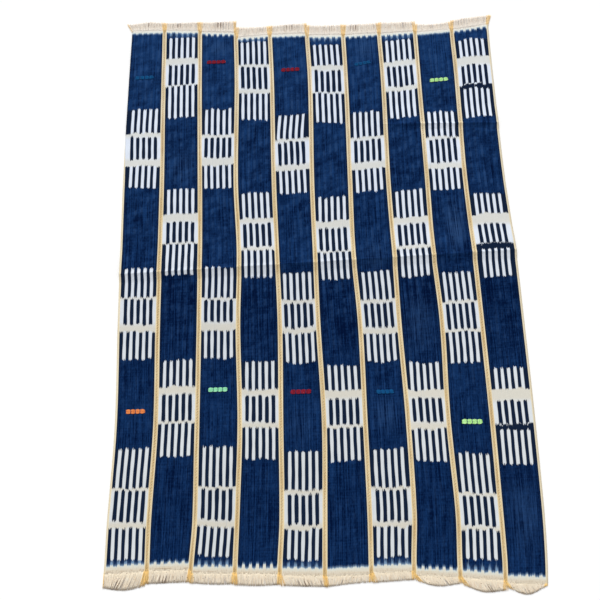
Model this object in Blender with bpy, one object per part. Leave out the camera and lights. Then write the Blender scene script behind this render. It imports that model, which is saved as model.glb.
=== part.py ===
"""Handwoven indigo cloth, laid flat: ten narrow strips sewn edge to edge, fringed at both ends.

Frame: +Y runs along the warp to the upper end, +Z is up, and the origin lies on the surface
under the middle of the outline. Tables are in millimetres, measured from the middle seam.
"""

import bisect
import math
import random

import bmesh
import bpy
from mathutils import Matrix, Vector

MM = 0.001

# The middle of the outline, as the tables measure it
MIDDLE_X = 4.0
MIDDLE_Y = -9.5

# The woven sheet
THICKNESS = 1.2
GAP = 0.3
STRIPS = 10
COLUMNS = 3
LEVEL_ROWS = range(-720, 721, 60)
ROW_CLEAR = 12.0

# Undyed weave past the dyed part, at the upper and the lower end
WOVEN_TOP = 10.0
WOVEN_BOTTOM = 18.0

# The fringe: a narrow backing, and locks of cut warp ends
BACKING = 4.0
LOCKS = 14
LOCK_SHARE = 0.68
LOCK_TIP_SHARE = 0.8
LOCK_TIP_THICKNESS = 0.8
LOCK_UNEVEN = 1.5
FLAT_ANGLE = math.radians(0.5)

# The coloured marks laid into the odd strips
MARK_EDGE = 0.4
MARK_THICKNESS = 0.7
MARK_LUMP = 0.9
MARK_NECK = 0.62
MARK_LUMPS = 4
MARK_STEPS_PER_LUMP = 4

# Where the seams run: y, left edge, seams 1 to 9, right edge
SEAMS = (
    (-760, -516, -417, -317, -215, -112, -9, 97, 194, 299, 401, 497),
    (-703, -513, -415, -314, -213, -110, -7, 99, 197, 302, 405, 503),
    (-600, -511, -414, -306, -208, -103, -3, 102, 205, 307, 407, 509),
    (-380, -503, -404, -304, -200, -101, 4, 103, 207, 304, 410, 514),
    (-142, -507, -406, -302, -204, -98, -2, 104, 202, 310, 410, 517),
    (49, -509, -406, -302, -200, -102, -3, 96, 202, 303, 409, 518),
    (252, -510, -406, -304, -208, -106, -4, 98, 200, 304, 405, 512),
    (544, -507, -409, -308, -204, -106, 1, 101, 205, 305, 411, 514),
    (700, -504, -410, -309, -206, -109, -3, 100, 203, 306, 411, 517),
    (760, -503, -411, -310, -207, -110, -4, 99, 203, 306, 411, 520),
)

# How far each strip is dyed: upper left, upper right, lower left, lower right
DYED = (
    (722, 722, -694, -691),
    (722, 718, -690, -690),
    (714, 708, -698, -701),
    (692, 698, -702, -705),
    (698, 699, -708, -712),
    (692, 691, -713, -712),
    (689, 694, -709, -709),
    (691, 696, -716, -723),
    (692, 699, -724, -733),
    (697, 712, -738, -744),
)

# How far the fringe reaches: upper left, middle and right, lower left, middle and right
TIPS = (
    (756, 762, 757, -736, -745, -737),
    (757, 757, 757, -734, -733, -733),
    (756, 756, 757, -735, -739, -740),
    (736, 735, 737, -742, -745, -744),
    (737, 741, 743, -746, -749, -751),
    (736, 734, 735, -752, -747, -744),
    (734, 735, 737, -746, -744, -742),
    (738, 738, 738, -743, -757, -753),
    (730, 728, 735, -754, -772, -770),
    (738, 747, 752, -763, -780, -762),
)

# How far the tips lean sideways from their roots: x, at the upper end, at the lower end
LEAN = (
    (-510, -14, -5),
    (-440, -1, -1),
    (0, 0, 0),
    (200, 1, 2),
    (450, 2, -1),
    (515, 11, -5),
)

# Folds: y at the left edge, y at the right edge, half width, height, from x, to x
FOLDS = (
    (3, 38, 28, 4.2, -700, 700),
    (424, 404, 22, 2.6, 170, 700),
)
FOLD_ROWS = (-1.0, -0.6, -0.3, 0.0, 0.3, 0.6, 1.0)
FOLD_FADE = 80.0

# Soft swells where the cloth stands off the surface, clear of the ends and of the marks:
# x, y, half length in x and in y, height
SWELLS = (
    (-440, 420, 120, 110, 2.4),
    (40, 430, 170, 110, 1.8),
    (-300, -500, 150, 120, 2.0),
    (250, -590, 140, 110, 3.0),
    (440, 200, 110, 120, 2.2),
)

# Marks: strip, x, y, length, depth, slant in degrees, yarn
MARKS_UPPER = (
    (1, -463, 578, 53, 6, 2, "blue_yarn"),
    (3, -261, 621, 54, 10, 1, "red_yarn"),
    (5, -54, 590, 52, 11, 2, "red_yarn"),
    (7, 151, 604, 47, 6, 10, "blue_yarn"),
    (9, 361, 544, 52, 11, 4, "lime_yarn"),
)
MARKS_LOWER = (
    (1, -454, -346, 47, 11, 0, "orange_yarn"),
    (3, -253, -299, 48, 11, 0, "green_yarn"),
    (5, -51, -310, 51, 11, 0, "red_yarn"),
    (7, 156, -316, 43, 7, 0, "blue_yarn"),
    (9, 361, -394, 50, 12, -2, "lime_yarn"),
)

# Finishes: red, green, blue from 0 to 255, and roughness
FINISHES = {
    "indigo_cotton": ((19, 44, 88), 0.92),
    "undyed_cotton": ((222, 211, 194), 0.95),
    "red_yarn": ((150, 34, 42), 0.85),
    "blue_yarn": ((20, 84, 140), 0.85),
    "lime_yarn": ((200, 246, 150), 0.80),
    "green_yarn": ((140, 232, 170), 0.80),
    "orange_yarn": ((238, 128, 62), 0.80),
}


def through(places, values, at):
    """The value at one place on a smooth curve through the given ones."""
    if at <= places[0]:
        return values[0]
    if at >= places[-1]:
        return values[-1]

    def slope(k):
        low = max(k - 1, 0)
        high = min(k + 1, len(places) - 1)
        return (values[high] - values[low]) / (places[high] - places[low])

    k = bisect.bisect_right(places, at) - 1
    span = places[k + 1] - places[k]
    t = (at - places[k]) / span
    rest = 1.0 - t
    ends = values[k] * (1 + 2 * t) * rest ** 2 + values[k + 1] * (3 - 2 * t) * t ** 2
    return ends + span * t * rest * (slope(k) * rest - slope(k + 1) * t)


def seam_x(seam, y):
    """Where a seam runs at height y. Seam 0 is the left edge and seam 10 the right one."""
    places = [row[0] for row in SEAMS]
    values = [row[1 + seam] for row in SEAMS]
    return through(places, values, y)


def bump(distance, half_width):
    """A soft hill, 1 in its middle and 0 from its half width outwards."""
    t = min(abs(distance) / half_width, 1.0)
    return (1.0 - t * t) ** 2


def fold_y(fold, x):
    """The height at which a fold crosses x."""
    left, right = fold[0], fold[1]
    share = (x - seam_x(0, 0)) / (seam_x(STRIPS, 0) - seam_x(0, 0))
    return left + (right - left) * share


def drape(x, y):
    """How far the sheet's underside stands off the surface."""
    height = 0.0
    for fold in FOLDS:
        half_width, crest, start, end = fold[2:]
        inside = min((x - start) / FOLD_FADE, (end - x) / FOLD_FADE, 1.0)
        if inside > 0:
            height = max(height, crest * inside * bump(y - fold_y(fold, x), half_width))
    for middle_x, middle_y, half_x, half_y, crest in SWELLS:
        height += crest * bump(x - middle_x, half_x) * bump(y - middle_y, half_y)
    return height


def cut_end(strip, end, share):
    """The height of a strip's woven end at a share of its width: end is 1 above, -1 below."""
    first, woven = (0, WOVEN_TOP) if end > 0 else (2, WOVEN_BOTTOM)
    left, right = DYED[strip][first:first + 2]
    return left + (right - left) * share + end * woven


def folds_on(strip):
    """The folds that cross a strip."""
    return [fold for fold in FOLDS if seam_x(strip + 1, 0) > fold[4]]


def is_plain(strip, level):
    """Whether a level cross row lies inside a strip, clear of its ends and its folds."""
    bottom = max(cut_end(strip, -1, share) for share in (0.0, 1.0))
    top = min(cut_end(strip, 1, share) for share in (0.0, 1.0))
    middle = (seam_x(strip, level) + seam_x(strip + 1, level)) / 2
    inside = bottom + ROW_CLEAR < level < top - ROW_CLEAR
    return inside and all(abs(level - fold_y(fold, middle)) > fold[2] + ROW_CLEAR for fold in folds_on(strip))


def row_places(strip, share):
    """The heights of a strip's cross rows: its ends, level rows shared by all strips, and its folds."""
    rows = [cut_end(strip, -1, share), cut_end(strip, 1, share)]
    rows += [level for level in LEVEL_ROWS if is_plain(strip, level)]
    for fold in folds_on(strip):
        middle = fold_y(fold, across(strip, share, 0))
        rows += [middle + step * fold[2] for step in FOLD_ROWS]
    return sorted(rows)


def make_material(name):
    """A plain cotton or yarn in its colour."""
    colour, roughness = FINISHES[name]
    material = bpy.data.materials.new(name)
    material.use_nodes = True
    shader = material.node_tree.nodes["Principled BSDF"]
    linear = [(channel / 255.0) ** 2.2 for channel in colour]
    shader.inputs["Base Color"].default_value = (*linear, 1.0)
    shader.inputs["Roughness"].default_value = roughness
    return material


def make_object(name, mesh_cage, collection, material):
    """Close a cage built in table millimetres into an object in the part's own frame."""
    bmesh.ops.recalc_face_normals(mesh_cage, faces=mesh_cage.faces)
    bmesh.ops.translate(mesh_cage, verts=mesh_cage.verts, vec=(-MIDDLE_X, -MIDDLE_Y, 0.0))
    bmesh.ops.scale(mesh_cage, verts=mesh_cage.verts, vec=(MM, MM, MM))
    mesh = bpy.data.meshes.new(name)
    mesh_cage.to_mesh(mesh)
    mesh_cage.free()
    mesh.materials.append(material)
    made = bpy.data.objects.new(name, mesh)
    collection.objects.link(made)
    return made


def raise_sheet(cage, thickness):
    """Give a flat grid its thickness, straight up. Returns the upper vertices."""
    made = bmesh.ops.extrude_face_region(cage, geom=cage.faces[:])
    upper = [item for item in made["geom"] if isinstance(item, bmesh.types.BMVert)]
    bmesh.ops.translate(cage, verts=upper, vec=(0.0, 0.0, thickness))
    return upper


def flat_grid(columns, rows):
    """A grid whose vertices stand at whole numbers of columns and rows."""
    cage = bmesh.new()
    bmesh.ops.create_grid(cage, x_segments=columns, y_segments=rows, size=0.5)
    for vert in cage.verts:
        vert.co.x = round((vert.co.x + 0.5) * columns)
        vert.co.y = round((vert.co.y + 0.5) * rows)
    return cage


def across(strip, share, y):
    """The x at a share of a strip's width, half a gap in from each seam."""
    left = seam_x(strip, y) + GAP / 2
    right = seam_x(strip + 1, y) - GAP / 2
    return left + (right - left) * share


def make_strip(strip, collection, material):
    """One narrow woven strip, from its lower to its upper cut end."""
    columns = [row_places(strip, column / COLUMNS) for column in range(COLUMNS + 1)]
    cage = flat_grid(COLUMNS, len(columns[0]) - 1)
    for vert in cage.verts:
        column = round(vert.co.x)
        y = columns[column][round(vert.co.y)]
        x = across(strip, column / COLUMNS, y)
        vert.co = (x, y, drape(x, y))
    raise_sheet(cage, THICKNESS)
    return make_object(f"strip_{strip + 1:02d}", cage, collection, material)


def tip_place(strip, end, share):
    """How far the fringe reaches at a share of the strip's width."""
    first = 0 if end > 0 else 3
    return through([0.0, 0.5, 1.0], TIPS[strip][first:first + 3], share)


def lean_at(end, x):
    """How far a lock's tip stands to the side of its root."""
    column = 1 if end > 0 else 2
    return through([row[0] for row in LEAN], [row[column] for row in LEAN], x)


def root_place(strip, end, share, depth):
    """A point on a strip's cut end, moved outwards by a depth."""
    left = across(strip, 0.0, cut_end(strip, end, 0.0))
    right = across(strip, 1.0, cut_end(strip, end, 1.0))
    return Vector((left + (right - left) * share, cut_end(strip, end, share) + end * depth, 0.0))


def lock_edges():
    """Shares of the backing's width at which its locks start and end."""
    edges = [0.0]
    for lock in range(LOCKS):
        start = (lock + (1 - LOCK_SHARE) / 2) / LOCKS
        edges += [start, start + LOCK_SHARE / LOCKS]
    return edges + [1.0]


def make_fringe(strip, end, collection, material):
    """The cut warp ends of one strip: a narrow backing with locks that lie level on the surface."""
    uneven = random.Random(strip * 2 + (end > 0))
    shares = lock_edges()
    cage = flat_grid(len(shares) - 1, 1)
    front = cage.verts.layers.int.new("front")
    for vert in cage.verts:
        vert[front] = round(vert.co.y)
        vert.co = root_place(strip, end, shares[round(vert.co.x)], GAP + vert[front] * BACKING)
    raise_sheet(cage, THICKNESS)
    cage.normal_update()

    # The grid's lines are needed along the front alone
    plain = []
    for edge in cage.edges:
        on_front = all(vert[front] for vert in edge.verts)
        if not on_front and edge.calc_face_angle() < FLAT_ANGLE:
            plain.append(edge)
    bmesh.ops.dissolve_edges(cage, edges=plain, use_verts=True)

    front_faces = [face for face in cage.faces if all(vert[front] for vert in face.verts)]
    front_faces.sort(key=lambda face: face.calc_center_median().x)
    grown = bmesh.ops.extrude_discrete_faces(cage, faces=front_faces[1::2])
    for lock, face in enumerate(grown["faces"]):
        root_x = face.calc_center_median().x
        reach = tip_place(strip, end, (lock + 0.5) / LOCKS) - end * uneven.uniform(0.0, LOCK_UNEVEN)
        side = lean_at(end, root_x)
        for vert in face.verts:
            vert.co.x = root_x + (vert.co.x - root_x) * LOCK_TIP_SHARE + side
            vert.co.y = reach
            vert.co.z = 0.0 if vert.co.z < THICKNESS / 2 else LOCK_TIP_THICKNESS
    side_name = "top" if end > 0 else "bottom"
    return make_object(f"fringe_{side_name}_{strip + 1:02d}", cage, collection, material)


def make_mark(name, row, collection, material):
    """A short bar of thick yarn laid in across a strip, in a few lumps."""
    x, y, length, depth, slant = row[1:6]
    steps = MARK_LUMPS * MARK_STEPS_PER_LUMP
    cage = flat_grid(steps, 2)
    upper = set(raise_sheet(cage, 1.0))
    for vert in cage.verts:
        along = vert.co.x / steps
        side = vert.co.y - 1.0
        lump = abs(math.sin(math.pi * MARK_LUMPS * along))
        half = depth / 2 * (MARK_NECK + (1 - MARK_NECK) * lump)
        height = 0.0
        if vert in upper:
            height = MARK_THICKNESS + MARK_LUMP * lump if side == 0 else MARK_EDGE
        vert.co = ((along - 0.5) * length, side * half, height)
    turn = Matrix.Rotation(math.radians(slant), 3, "Z")
    bmesh.ops.rotate(cage, verts=cage.verts, cent=(0, 0, 0), matrix=turn)
    bmesh.ops.translate(cage, verts=cage.verts, vec=(x, y, THICKNESS + GAP))
    return make_object(name, cage, collection, material)


def clear_scene():
    """Start from an empty scene."""
    for old in list(bpy.data.objects):
        bpy.data.objects.remove(old, do_unlink=True)


def main():
    """Build the whole cloth."""
    clear_scene()
    collection = bpy.data.collections.new("handwoven_indigo_cloth")
    bpy.context.scene.collection.children.link(collection)
    finish = {name: make_material(name) for name in FINISHES}
    for strip in range(STRIPS):
        make_strip(strip, collection, finish["indigo_cotton"])
        make_fringe(strip, 1, collection, finish["undyed_cotton"])
        make_fringe(strip, -1, collection, finish["undyed_cotton"])
    for place, marks in (("upper", MARKS_UPPER), ("lower", MARKS_LOWER)):
        for row in marks:
            make_mark(f"mark_{place}_{row[0]:02d}", row, collection, finish[row[-1]])


main()
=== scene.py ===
# %% [markdown]
# # A handwoven indigo cloth, laid flat
# Ten narrow strips of thick cotton are whipped together edge to edge. The warp was tied and dyed before
# it was woven, so white bars and cream bands run along the strips with feathered ends. Ochre yarns edge
# each strip, short bars of bright yarn are laid in by hand, and the cut warp ends make a fringe.
# Everything here is built in millimetres from the middle seam and moved into the frame at the end.

# %% Load the frame
import bisect
import math
import random

import bmesh
import bpy
from mathutils import Matrix, Vector, noise


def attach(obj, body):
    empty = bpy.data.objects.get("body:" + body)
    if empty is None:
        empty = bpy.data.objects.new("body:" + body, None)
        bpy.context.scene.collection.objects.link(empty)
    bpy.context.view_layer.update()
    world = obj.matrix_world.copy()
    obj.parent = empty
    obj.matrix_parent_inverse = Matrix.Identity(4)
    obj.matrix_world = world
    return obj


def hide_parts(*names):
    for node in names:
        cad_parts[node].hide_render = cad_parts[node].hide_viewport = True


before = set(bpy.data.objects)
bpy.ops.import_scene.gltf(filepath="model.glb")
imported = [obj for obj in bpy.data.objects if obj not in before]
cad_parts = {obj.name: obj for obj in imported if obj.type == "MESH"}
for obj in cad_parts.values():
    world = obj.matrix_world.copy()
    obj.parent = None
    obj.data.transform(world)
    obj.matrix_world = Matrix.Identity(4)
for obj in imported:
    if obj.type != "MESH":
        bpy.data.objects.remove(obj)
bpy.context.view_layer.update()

# %% [markdown]
# ## The cloth's own sizes
# The frame's solids hold the outline and the main folds. A finer piece that takes the place of one has
# to follow the same seams, so the tables that drew the solids are repeated here. The other way would be
# to read the points of the solids, but a table says what each number means.

# %% Where the seams run and where the ends lie
MM = 0.001
MIDDLE_X = 4.0
MIDDLE_Y = -9.5
THICKNESS = 1.2
GAP = 0.3
STRIPS = 10
WOVEN_TOP = 10.0
WOVEN_BOTTOM = 18.0

# y, left edge, seams 1 to 9, right edge
SEAMS = (
    (-760, -516, -417, -317, -215, -112, -9, 97, 194, 299, 401, 497),
    (-703, -513, -415, -314, -213, -110, -7, 99, 197, 302, 405, 503),
    (-600, -511, -414, -306, -208, -103, -3, 102, 205, 307, 407, 509),
    (-380, -503, -404, -304, -200, -101, 4, 103, 207, 304, 410, 514),
    (-142, -507, -406, -302, -204, -98, -2, 104, 202, 310, 410, 517),
    (49, -509, -406, -302, -200, -102, -3, 96, 202, 303, 409, 518),
    (252, -510, -406, -304, -208, -106, -4, 98, 200, 304, 405, 512),
    (544, -507, -409, -308, -204, -106, 1, 101, 205, 305, 411, 514),
    (700, -504, -410, -309, -206, -109, -3, 100, 203, 306, 411, 517),
    (760, -503, -411, -310, -207, -110, -4, 99, 203, 306, 411, 520),
)

# How far each strip is dyed: upper left, upper right, lower left, lower right
DYED = (
    (722, 722, -694, -691),
    (722, 718, -690, -690),
    (714, 708, -698, -701),
    (692, 698, -702, -705),
    (698, 699, -708, -712),
    (692, 691, -713, -712),
    (689, 694, -709, -709),
    (691, 696, -716, -723),
    (692, 699, -724, -733),
    (697, 712, -738, -744),
)

# How far the fringe reaches: upper left, middle and right, lower left, middle and right. The lower tips of
# the first strip lie up to 4 mm lower than the solids' do, as a closer look at the photo showed
TIPS = (
    (756, 762, 757, -740, -746, -737),
    (757, 757, 757, -734, -733, -733),
    (756, 756, 757, -735, -739, -740),
    (736, 735, 737, -742, -745, -744),
    (737, 741, 743, -746, -749, -751),
    (736, 734, 735, -752, -747, -744),
    (734, 735, 737, -746, -744, -742),
    (738, 738, 738, -743, -757, -753),
    (730, 728, 735, -754, -772, -770),
    (738, 747, 752, -763, -780, -762),
)


def through(places, values, at):
    """The value at one place on a smooth curve through the given ones."""
    if at <= places[0]:
        return values[0]
    if at >= places[-1]:
        return values[-1]

    def slope(k):
        low = max(k - 1, 0)
        high = min(k + 1, len(places) - 1)
        return (values[high] - values[low]) / (places[high] - places[low])

    k = bisect.bisect_right(places, at) - 1
    span = places[k + 1] - places[k]
    t = (at - places[k]) / span
    rest = 1.0 - t
    ends = values[k] * (1 + 2 * t) * rest ** 2 + values[k + 1] * (3 - 2 * t) * t ** 2
    return ends + span * t * rest * (slope(k) * rest - slope(k + 1) * t)


def column_at(rows, at, column=1):
    """The value of a table's column at a place in its first one."""
    return through([row[0] for row in rows], [row[column] for row in rows], at)


def seam_x(seam, y):
    """Where a seam runs at height y. Seam 0 is the left edge and seam 10 the right one."""
    return column_at(SEAMS, y, 1 + seam)


def width_at(strip, y):
    """The distance between the seams on both sides of a strip."""
    return seam_x(strip + 1, y) - seam_x(strip, y)


def from_edge(strip, share, y):
    """Millimetres to the nearer seam."""
    return min(share, 1.0 - share) * width_at(strip, y)


def across(strip, share, y):
    """The x at a share of a strip's width, half a gap in from each seam."""
    left = seam_x(strip, y) + GAP / 2
    right = seam_x(strip + 1, y) - GAP / 2
    return left + (right - left) * share


def dye_end(strip, end, share):
    """The height at which the dye stops: end is 1 above and -1 below."""
    first = 0 if end > 0 else 2
    left, right = DYED[strip][first:first + 2]
    return left + (right - left) * share


def cut_end(strip, end, share):
    """The height of a strip's woven end."""
    return dye_end(strip, end, share) + (WOVEN_TOP if end > 0 else -WOVEN_BOTTOM)


def tip_place(strip, end, share):
    """How far the fringe reaches at a share of the strip's width."""
    first = 0 if end > 0 else 3
    return through([0.0, 0.5, 1.0], TIPS[strip][first:first + 3], share)


print("the strips are", round((seam_x(10, 0) - seam_x(0, 0)) / STRIPS, 1), "mm wide on average")

# %% [markdown]
# ## How the cloth lies
# A cloth that was kept folded still stands up along its old fold lines, and it never lies quite flat in
# between. A cloth simulation would settle it, but its wrinkles would come where it likes. These are few
# and can be read from the photo, so they are soft hills with a place, a width and a height.

# %% Folds, swells, wrinkles and puckers
# Folds: y at the left edge, y at the right edge, half width below and above, height, from x, to x
FOLDS = (
    (3, 38, 26, 80, 4.2, -700, 700),
    (424, 404, 20, 60, 2.6, 170, 700),
)
FOLD_FADE = 80.0

# Swells: x, y, half length in x and in y, height
SWELLS = (
    (-440, 420, 120, 110, 2.4),
    (40, 430, 170, 110, 1.8),
    (-300, -500, 150, 120, 2.0),
    (250, -590, 140, 110, 3.0),
    (440, 200, 110, 120, 2.2),
)

# The crest of a fold is a crease: the fold, its extra height, its reach to each side
CREASES = (
    (FOLDS[0], 2.2, 11),
    (FOLDS[1], 2.4, 9),
)

# Wrinkles: from x, y, to x, y, half width, height
WRINKLES = (
    (216, -548, 262, -612, 9, 0.9),
    (330, 398, 402, 404, 7, 0.7),
    (408, 388, 500, 380, 9, 0.9),
)

# Unevenness: height, size across and along, and where its noise is read
WAVE = (0.9, 150, 190, 3.7)
RIPPLE = (0.25, 40, 55, 9.1)
CRUMPLE = (1.3, 48, 24, 5.3)
CRUMPLE_SLANT = 0.5
CRUMPLED_FROM = 180
CRUMPLED_FULLY = 300
PUCKER = (0.5, 1, 8.0, 0.5)
PUCKER_REACH = 16.0
PUCKER_STEP = 7.3


def bump(distance, half_width):
    """A soft hill, 1 in its middle and 0 from its half width outwards."""
    t = min(abs(distance) / half_width, 1.0)
    return (1.0 - t * t) ** 2


def fold_y(fold, x):
    """The height at which a fold crosses x."""
    left, right = fold[:2]
    share = (x - seam_x(0, 0)) / (seam_x(STRIPS, 0) - seam_x(0, 0))
    return left + (right - left) * share


def fold_strength(fold, x):
    """1 along a fold and 0 past its ends."""
    start, end = fold[5:]
    return max(min((x - start) / FOLD_FADE, (end - x) / FOLD_FADE, 1.0), 0.0)


def drape(x, y):
    """How far the underside stands off the surface. Above a fold it runs out longer than in the solids."""
    height = 0.0
    for fold in FOLDS:
        below, above, crest = fold[2:5]
        off = y - fold_y(fold, x)
        height = max(height, crest * fold_strength(fold, x) * bump(off, above if off > 0 else below))
    for middle_x, middle_y, half_x, half_y, crest in SWELLS:
        height += crest * bump(x - middle_x, half_x) * bump(y - middle_y, half_y)
    return height


def from_line(x, y, start, end):
    """The distance from a point to a straight line between two others."""
    run = end - start
    share = (Vector((x, y)) - start).dot(run) / run.length_squared
    return (Vector((x, y)) - start - run * min(max(share, 0.0), 1.0)).length


def rough(kind, x, y):
    """Smooth random hills of one kind, from 0 to their height."""
    height, wide, long, place = kind
    return height * (0.5 + 0.5 * noise.noise(Vector((x / wide, y / long, place))))


def unevenness(x, y):
    """What hand-loomed cloth keeps of its own. Its upper part is crumpled a little on the slant."""
    crumple = rough(CRUMPLE, x + CRUMPLE_SLANT * y, y - CRUMPLE_SLANT * x)
    crumpled = min(max((y - CRUMPLED_FROM) / (CRUMPLED_FULLY - CRUMPLED_FROM), 0.0), 1.0)
    height = rough(WAVE, x, y) + rough(RIPPLE, x, y) + crumple * crumpled
    for fold, crest, reach in CREASES:
        off = min(abs(y - fold_y(fold, x)) / reach, 1.0)
        height += crest * (1.0 - off) ** 2 * fold_strength(fold, x)
    for start_x, start_y, end_x, end_y, half_width, crest in WRINKLES:
        off = from_line(x, y, Vector((start_x, start_y)), Vector((end_x, end_y)))
        height += crest * bump(off, half_width)
    return height


def pucker(strip, share, y):
    """Where the sewing gathers the selvedge a little. Both sides of a seam share it."""
    seam = strip + round(share)
    return bump(from_edge(strip, share, y), PUCKER_REACH) * rough(PUCKER, seam * PUCKER_STEP, y)


def underside(strip, share, y):
    """How far a strip's underside stands off the surface."""
    x = across(strip, share, y)
    return drape(x, y) + unevenness(x, y) + pucker(strip, share, y)


print("the main fold stands", round(drape(0, fold_y(FOLDS[0], 0)), 1), "mm off the surface")

# %% [markdown]
# ## Camera, floor and light
# The camera stands where the photo's own perspective puts it: above the lower end, looking steeply down.
# The photo is lit softly from all round with a little more from the upper end, so a bright world does
# most of the work and one broad, far lamp beyond the upper end gives the folds a light and a dark side.
# A lamp close by would leave the lower end darker, which the photo doesn't show.

# %% Camera
CAMERA_PLACE = (-0.0524, -0.4418, 1.4812)
CAMERA_TURN = (14.139, 0.32, -1.681)
CAMERA_LENS = 36.0
SENSOR_WIDTH = 36.0

camera_data = bpy.data.cameras.new("camera")
camera_data.lens = CAMERA_LENS
camera_data.sensor_width = SENSOR_WIDTH
camera = bpy.data.objects.new("camera", camera_data)
camera.location = CAMERA_PLACE
camera.rotation_euler = [math.radians(turn) for turn in CAMERA_TURN]
bpy.context.scene.collection.objects.link(camera)
bpy.context.scene.camera = camera
print("the camera stands", CAMERA_PLACE[2], "m above the floor")

# %% Light
WORLD_STRENGTH = 0.62
LAMP_FROM_ABOVE = 58.0
LAMP_TO_THE_SIDE = 10.0
LAMP_SPREAD = 24.0
LAMP_STRENGTH = 2.6

scene = bpy.context.scene
scene.view_settings.view_transform = "Standard"
scene.view_settings.look = "None"
scene.world = bpy.data.worlds.new("studio")
scene.world.use_nodes = True
sky = scene.world.node_tree.nodes["Background"]
sky.inputs["Color"].default_value = (1.0, 1.0, 1.0, 1.0)
sky.inputs["Strength"].default_value = WORLD_STRENGTH

lamp_data = bpy.data.lights.new("lamp", "SUN")
lamp_data.energy = LAMP_STRENGTH
lamp_data.angle = math.radians(LAMP_SPREAD)
lamp = bpy.data.objects.new("lamp", lamp_data)
lamp.rotation_euler = (-math.radians(LAMP_FROM_ABOVE), 0.0, math.radians(LAMP_TO_THE_SIDE))
lamp.location = (0.0, 3.0, 2.0)
scene.collection.objects.link(lamp)
print("the lamp stands", LAMP_FROM_ABOVE, "degrees from overhead")

# %% [markdown]
# ## Node helpers
# A node tree reads like wiring. Here an output can be added, multiplied and divided like a number, and
# each sign adds one arithmetic node. A few more helpers make soft steps, noise, mixes and groups.

# %% Node helpers
MIX_MASK, MIX_FIRST, MIX_SECOND, MIX_RESULT = 0, 6, 7, 2


def paint(red, green, blue):
    """A screen colour from 0 to 255 as the linear colour that a shader wants."""
    linear = []
    for channel in (red, green, blue):
        part = channel / 255.0
        linear.append(part / 12.92 if part <= 0.04045 else ((part + 0.055) / 1.055) ** 2.4)
    return (*linear, 1.0)


class Value:
    """An output in a node tree that sums are written with."""

    def __init__(self, tree, socket):
        self.tree = tree
        self.socket = socket

    def __add__(self, other):
        return calc("ADD", self, other)

    def __sub__(self, other):
        return calc("SUBTRACT", self, other)

    def __rsub__(self, other):
        return calc("SUBTRACT", other, self)

    def __mul__(self, other):
        return calc("MULTIPLY", self, other)

    def __truediv__(self, other):
        return calc("DIVIDE", self, other)


def plug(value, socket):
    """Link a value to a socket, or set the socket to a plain number or colour."""
    if isinstance(value, Value):
        value.tree.links.new(value.socket, socket)
    else:
        socket.default_value = value


def calc(operation, *values):
    """One step of arithmetic."""
    tree = next(value.tree for value in values if isinstance(value, Value))
    node = tree.nodes.new("ShaderNodeMath")
    node.operation = operation
    for value, socket in zip(values, node.inputs):
        plug(value, socket)
    return Value(tree, node.outputs[0])


def soft_step(value, low, high):
    """0 at low and 1 at high, with a soft run between. High may be the smaller one."""
    node = value.tree.nodes.new("ShaderNodeMapRange")
    node.interpolation_type = "SMOOTHSTEP"
    plug(value, node.inputs["Value"])
    plug(low, node.inputs["From Min"])
    plug(high, node.inputs["From Max"])
    return Value(value.tree, node.outputs["Result"])


def grain(x, y, cell=(1.0, 1.0), detail=0.0):
    """Smooth noise from 0 to 1 with cells of a width along x and a length along y."""
    tree = x.tree
    place = tree.nodes.new("ShaderNodeCombineXYZ")
    plug(x if cell[0] == 1.0 else x / cell[0], place.inputs["X"])
    plug(y if cell[1] == 1.0 else y / cell[1], place.inputs["Y"])
    node = tree.nodes.new("ShaderNodeTexNoise")
    node.noise_dimensions = "2D"
    node.inputs["Scale"].default_value = 1.0
    node.inputs["Detail"].default_value = detail
    tree.links.new(place.outputs["Vector"], node.inputs["Vector"])
    return Value(tree, node.outputs["Fac"])


def swing(value, amount):
    """Stretch noise from 0 to 1 so that it swings by an amount to both sides of zero."""
    return value * (2.0 * amount) - amount


def mix(mask, first, second, blend="MIX"):
    """The first colour where the mask is 0 and the second where it is 1."""
    node = mask.tree.nodes.new("ShaderNodeMix")
    node.data_type = "RGBA"
    node.blend_type = blend
    plug(mask, node.inputs[MIX_MASK])
    plug(first, node.inputs[MIX_FIRST])
    plug(second, node.inputs[MIX_SECOND])
    return Value(mask.tree, node.outputs[MIX_RESULT])


def deepen(mask, colour, shade):
    """Multiply a colour by a shade where the mask is 1."""
    return mix(mask, colour, shade, "MULTIPLY")


def measured(tree, name):
    """A number that the mesh carries at its points."""
    node = tree.nodes.new("ShaderNodeAttribute")
    node.attribute_name = name
    return Value(tree, node.outputs["Fac"])


def new_group(name, inputs, outputs):
    """An empty node group with named number sockets, with its given values and its output sockets."""
    group = bpy.data.node_groups.new(name, "ShaderNodeTree")
    for label in inputs:
        group.interface.new_socket(label, in_out="INPUT", socket_type="NodeSocketFloat")
    for label in outputs:
        group.interface.new_socket(label, in_out="OUTPUT", socket_type="NodeSocketFloat")
    given = group.nodes.new("NodeGroupInput").outputs
    made = group.nodes.new("NodeGroupOutput").inputs
    return group, [Value(group, given[label]) for label in inputs], made


def use_group(tree, group, values):
    """Place a node group with its values and return its outputs by name."""
    node = tree.nodes.new("ShaderNodeGroup")
    node.node_tree = group
    for label, value in values.items():
        plug(value, node.inputs[label])
    return {output.name: Value(tree, output) for output in node.outputs}


def new_material(name, roughness, specular):
    """A material with its shader. Returns the material, its tree and the shader's sockets."""
    material = bpy.data.materials.new(name)
    material.use_nodes = True
    tree = material.node_tree
    shader = tree.nodes["Principled BSDF"]
    shader.inputs["Roughness"].default_value = roughness
    shader.inputs["Specular IOR Level"].default_value = specular
    return material, tree, shader.inputs


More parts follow.
